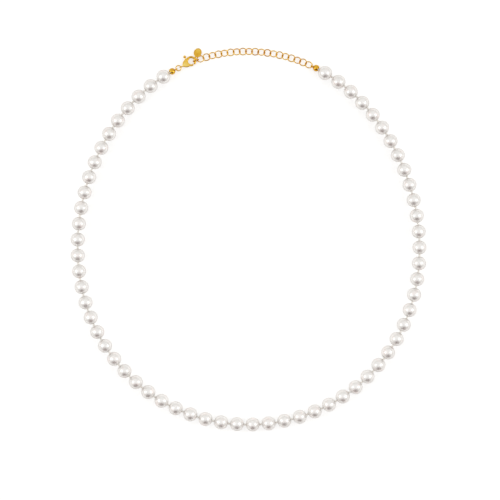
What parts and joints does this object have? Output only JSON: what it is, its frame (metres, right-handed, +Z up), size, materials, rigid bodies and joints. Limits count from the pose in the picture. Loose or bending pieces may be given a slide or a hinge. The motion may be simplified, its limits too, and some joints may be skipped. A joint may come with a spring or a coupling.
{
  "type": "pearl necklace",
  "caption": "Single strand of round white pearls, hand knotted on silk, closed by a small gold lobster clasp, with a round-link extender chain and an oval end tag.",
  "frame": {"origin": "centre of the overall box in plan, on the surface that the necklace lies on, at Z = 0", "axes": "+Z up from that surface, +Y in plan from the front of the strand towards the clasp and extender, +X to the right; the necklace is closed and lies flat"},
  "size_m": [0.143, 0.1544, 0.0056],
  "materials": {
    "pearl": "lustrous nacre, soft gloss, white with a faint rose overtone",
    "silk": "twisted silk, matt, off white",
    "gold": "bright polished yellow gold plate",
    "steel": "plain drawn wire"
  },
  "bodies": {
    "strand_front": {"pearls_front": "pearl", "thread_front": "silk"},
    "strand_section_1": {"pearls_left_1": "pearl", "pearls_right_1": "pearl", "thread_left_1": "silk", "thread_right_1": "silk"},
    "strand_section_2": {"pearls_left_2": "pearl", "pearls_right_2": "pearl", "thread_left_2": "silk", "thread_right_2": "silk"},
    "strand_section_3": {"pearls_left_3": "pearl", "pearls_right_3": "pearl", "thread_left_3": "silk", "thread_right_3": "silk"},
    "strand_section_4": {"pearls_left_4": "pearl", "pearls_right_4": "pearl", "thread_left_4": "silk", "thread_right_4": "silk"},
    "strand_section_5": {"pearls_left_5": "pearl", "pearls_right_5": "pearl", "thread_left_5": "silk", "thread_right_5": "silk"},
    "strand_section_6": {"pearls_left_6": "pearl", "pearls_right_6": "pearl", "thread_left_6": "silk", "thread_right_6": "silk", "bead_tip_left": "gold", "bead_tip_right": "gold"},
    "extender_end": {"extender_end_link": "gold"},
    "jump_ring": {"jump_ring": "gold"},
    "clasp": {"clasp_body": "gold", "clasp_pin": "gold", "clasp_spring": "steel"},
    "clasp_lever": {"clasp_lever": "gold"},
    "extender_ring_01": {"extender_ring_01": "gold"},
    "extender_ring_02": {"extender_ring_02": "gold"},
    "extender_ring_03": {"extender_ring_03": "gold"},
    "extender_ring_04": {"extender_ring_04": "gold"},
    "extender_ring_05": {"extender_ring_05": "gold"},
    "extender_ring_06": {"extender_ring_06": "gold"},
    "extender_ring_07": {"extender_ring_07": "gold"},
    "extender_ring_08": {"extender_ring_08": "gold"},
    "extender_ring_09": {"extender_ring_09": "gold"},
    "extender_ring_10": {"extender_ring_10": "gold"},
    "extender_ring_11": {"extender_ring_11": "gold"},
    "extender_ring_12": {"extender_ring_12": "gold"},
    "extender_ring_13": {"extender_ring_13": "gold"},
    "extender_ring_14": {"extender_ring_14": "gold"},
    "extender_ring_15": {"extender_ring_15": "gold"},
    "extender_ring_16": {"extender_ring_16": "gold"},
    "extender_ring_17": {"extender_ring_17": "gold"},
    "extender_ring_18": {"extender_ring_18": "gold"},
    "extender_ring_19": {"extender_ring_19": "gold"},
    "tag_ring": {"tag_ring": "gold"},
    "tag": {"tag": "gold"}
  },
  "joints": [
    {"name": "fold_1", "type": "hinge", "parent": "strand_front", "child": "strand_section_1", "pos_m": [0.00138, -0.06232, 0.0028], "axis": [0.9997, 0.0236, 0], "range_deg": [-45, 45]},
    {"name": "fold_2", "type": "hinge", "parent": "strand_section_1", "child": "strand_section_2", "pos_m": [0.00095, -0.04414, 0.0028], "axis": [0.9997, 0.0235, 0], "range_deg": [-45, 45]},
    {"name": "fold_3", "type": "hinge", "parent": "strand_section_2", "child": "strand_section_3", "pos_m": [0.0004, -0.0207, 0.0028], "axis": [0.9997, 0.0235, 0], "range_deg": [-45, 45]},
    {"name": "fold_4", "type": "hinge", "parent": "strand_section_3", "child": "strand_section_4", "pos_m": [-0.00023, 0.00475, 0.0028], "axis": [0.9997, 0.0236, 0], "range_deg": [-45, 45]},
    {"name": "fold_5", "type": "hinge", "parent": "strand_section_4", "child": "strand_section_5", "pos_m": [-0.00086, 0.02952, 0.0028], "axis": [0.9997, 0.0234, 0], "range_deg": [-45, 45]},
    {"name": "fold_6", "type": "hinge", "parent": "strand_section_5", "child": "strand_section_6", "pos_m": [-0.00141, 0.05148, 0.0028], "axis": [0.9997, 0.023, 0], "range_deg": [-45, 45]},
    {"name": "extender_swing", "type": "hinge", "parent": "strand_section_6", "child": "extender_end", "pos_m": [-0.02918, 0.06854, 0.0009], "axis": [0.9997, 0.023, -0.0008], "range_deg": [-20, 35]},
    {"name": "jump_ring_roll", "type": "hinge", "parent": "extender_end", "child": "jump_ring", "pos_m": [-0.02824, 0.06901, 0.0009], "axis": [-0.8903, -0.4554, 0], "range_deg": [-25, 25]},
    {"name": "clasp_roll", "type": "hinge", "parent": "extender_end", "child": "clasp", "pos_m": [-0.02731, 0.06949, 0.0009], "axis": [-0.9195, -0.3932, 0], "range_deg": [0, 25]},
    {"name": "lever_press", "type": "hinge", "parent": "clasp", "child": "clasp_lever", "pos_m": [-0.0248, 0.07051, 0.0009], "axis": [0, 0, 1], "range_deg": [0, 20], "stiffness_Nm_per_rad": 0.01, "springref_deg": -20.05, "deforming": ["clasp_spring"]},
    {"name": "ring_01_roll", "type": "hinge", "parent": "extender_end", "child": "extender_ring_01", "pos_m": [-0.01936, 0.07272, 0.00086], "axis": [-0.9514, -0.3081, 0], "range_deg": [0, 26]},
    {"name": "ring_02_roll", "type": "hinge", "parent": "extender_end", "child": "extender_ring_02", "pos_m": [-0.01699, 0.07345, 0.00086], "axis": [0.9621, 0.2729, 0], "range_deg": [0, 26]},
    {"name": "ring_03_roll", "type": "hinge", "parent": "extender_end", "child": "extender_ring_03", "pos_m": [-0.01459, 0.07407, 0.00086], "axis": [-0.9724, -0.2332, 0], "range_deg": [0, 26]},
    {"name": "ring_04_roll", "type": "hinge", "parent": "extender_end", "child": "extender_ring_04", "pos_m": [-0.01217, 0.0746, 0.00086], "axis": [0.9812, 0.193, 0], "range_deg": [0, 26]},
    {"name": "ring_05_roll", "type": "hinge", "parent": "extender_end", "child": "extender_ring_05", "pos_m": [-0.00973, 0.07503, 0.00086], "axis": [-0.9883, -0.1522, 0], "range_deg": [0, 26]},
    {"name": "ring_06_roll", "type": "hinge", "parent": "extender_end", "child": "extender_ring_06", "pos_m": [-0.00727, 0.07536, 0.00086], "axis": [0.9938, 0.1111, 0], "range_deg": [0, 26]},
    {"name": "ring_07_roll", "type": "hinge", "parent": "extender_end", "child": "extender_ring_07", "pos_m": [-0.0048, 0.07558, 0.00086], "axis": [-0.9976, -0.0697, 0], "range_deg": [0, 26]},
    {"name": "ring_08_roll", "type": "hinge", "parent": "extender_end", "child": "extender_ring_08", "pos_m": [-0.00232, 0.0757, 0.00086], "axis": [0.9996, 0.0282, 0], "range_deg": [0, 26]},
    {"name": "ring_09_roll", "type": "hinge", "parent": "extender_end", "child": "extender_ring_09", "pos_m": [0.00016, 0.07572, 0.00086], "axis": [-0.9999, 0.0134, 0], "range_deg": [0, 26]},
    {"name": "ring_10_roll", "type": "hinge", "parent": "extender_end", "child": "extender_ring_10", "pos_m": [0.00263, 0.07564, 0.00086], "axis": [0.9985, -0.0549, 0], "range_deg": [0, 26]},
    {"name": "ring_11_roll", "type": "hinge", "parent": "extender_end", "child": "extender_ring_11", "pos_m": [0.00511, 0.07545, 0.00086], "axis": [-0.9954, 0.0962, 0], "range_deg": [0, 26]},
    {"name": "ring_12_roll", "type": "hinge", "parent": "extender_end", "child": "extender_ring_12", "pos_m": [0.00757, 0.07516, 0.00086], "axis": [0.9905, -0.1373, 0], "range_deg": [0, 26]},
    {"name": "ring_13_roll", "type": "hinge", "parent": "extender_end", "child": "extender_ring_13", "pos_m": [0.01002, 0.07477, 0.00086], "axis": [-0.984, 0.1779, 0], "range_deg": [0, 26]},
    {"name": "ring_14_roll", "type": "hinge", "parent": "extender_end", "child": "extender_ring_14", "pos_m": [0.01245, 0.07428, 0.00086], "axis": [0.9759, -0.2181, 0], "range_deg": [0, 26]},
    {"name": "ring_15_roll", "type": "hinge", "parent": "extender_end", "child": "extender_ring_15", "pos_m": [0.01486, 0.07369, 0.00086], "axis": [-0.9663, 0.2576, 0], "range_deg": [0, 26]},
    {"name": "ring_16_roll", "type": "hinge", "parent": "extender_end", "child": "extender_ring_16", "pos_m": [0.01724, 0.073, 0.00086], "axis": [0.955, -0.2964, 0], "range_deg": [0, 26]},
    {"name": "ring_17_roll", "type": "hinge", "parent": "extender_end", "child": "extender_ring_17", "pos_m": [0.01959, 0.07222, 0.00086], "axis": [-0.9424, 0.3345, 0], "range_deg": [0, 26]},
    {"name": "ring_18_roll", "type": "hinge", "parent": "extender_end", "child": "extender_ring_18", "pos_m": [0.02191, 0.07134, 0.00086], "axis": [0.9284, -0.3717, 0], "range_deg": [0, 26]},
    {"name": "ring_19_roll", "type": "hinge", "parent": "extender_end", "child": "extender_ring_19", "pos_m": [0.0242, 0.07037, 0.00086], "axis": [-0.9157, 0.4019, 0], "range_deg": [0, 26]},
    {"name": "tag_ring_swing", "type": "hinge", "parent": "extender_end", "child": "tag_ring", "pos_m": [-0.02132, 0.07225, 0.00245], "axis": [0.9441, 0.3297, 0], "range_deg": [-5, 20]},
    {"name": "tag_swing", "type": "hinge", "parent": "tag_ring", "child": "tag", "pos_m": [-0.02132, 0.07263, 0.00179], "axis": [0.9563, -0.2924, 0], "range_deg": [-5, 20]}
  ]
}
